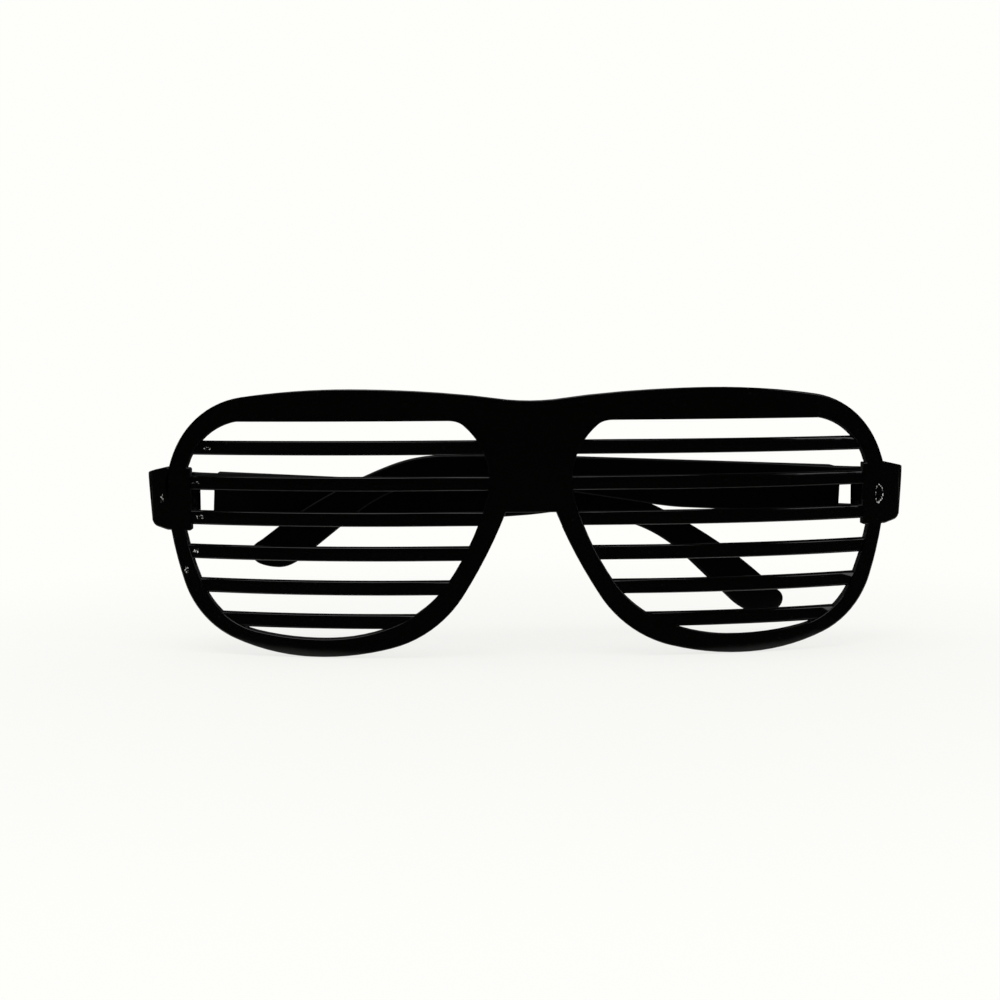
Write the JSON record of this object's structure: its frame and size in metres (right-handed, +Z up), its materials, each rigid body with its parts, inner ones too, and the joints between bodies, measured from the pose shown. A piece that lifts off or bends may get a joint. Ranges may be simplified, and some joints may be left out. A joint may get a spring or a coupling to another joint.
{
  "type": "novelty glasses",
  "caption": "Wrap-around novelty glasses with horizontal slats in place of lenses and two folding arms, shown folded.",
  "frame": {"origin": "middle of the bridge's underside, at the middle of the front's thickness: where the glasses sit on a nose", "axes": "+X to the right as seen from the front, +Y from the front towards the ears, +Z up"},
  "size_m": [0.1502, 0.0312, 0.0512],
  "materials": {
    "front_plastic": "polished moulding",
    "arm_plastic": "polished moulding",
    "screw_steel": "turned"
  },
  "bodies": {
    "front": {"front": "front_plastic"},
    "left_arm": {"left_arm": "arm_plastic", "left_hinge_screw": "screw_steel"},
    "right_arm": {"right_arm": "arm_plastic", "right_hinge_screw": "screw_steel"}
  },
  "joints": [
    {"name": "left_hinge", "type": "hinge", "parent": "front", "child": "left_arm", "pos_m": [-0.067, 0.0161, 0.0023], "axis": [0.0489, 0, 0.9988], "range_deg": [0, 85.8]},
    {"name": "right_hinge", "type": "hinge", "parent": "front", "child": "right_arm", "pos_m": [0.067, 0.0161, 0.0023], "axis": [-0.0489, 0, -0.9988], "range_deg": [0, 90]}
  ]
}
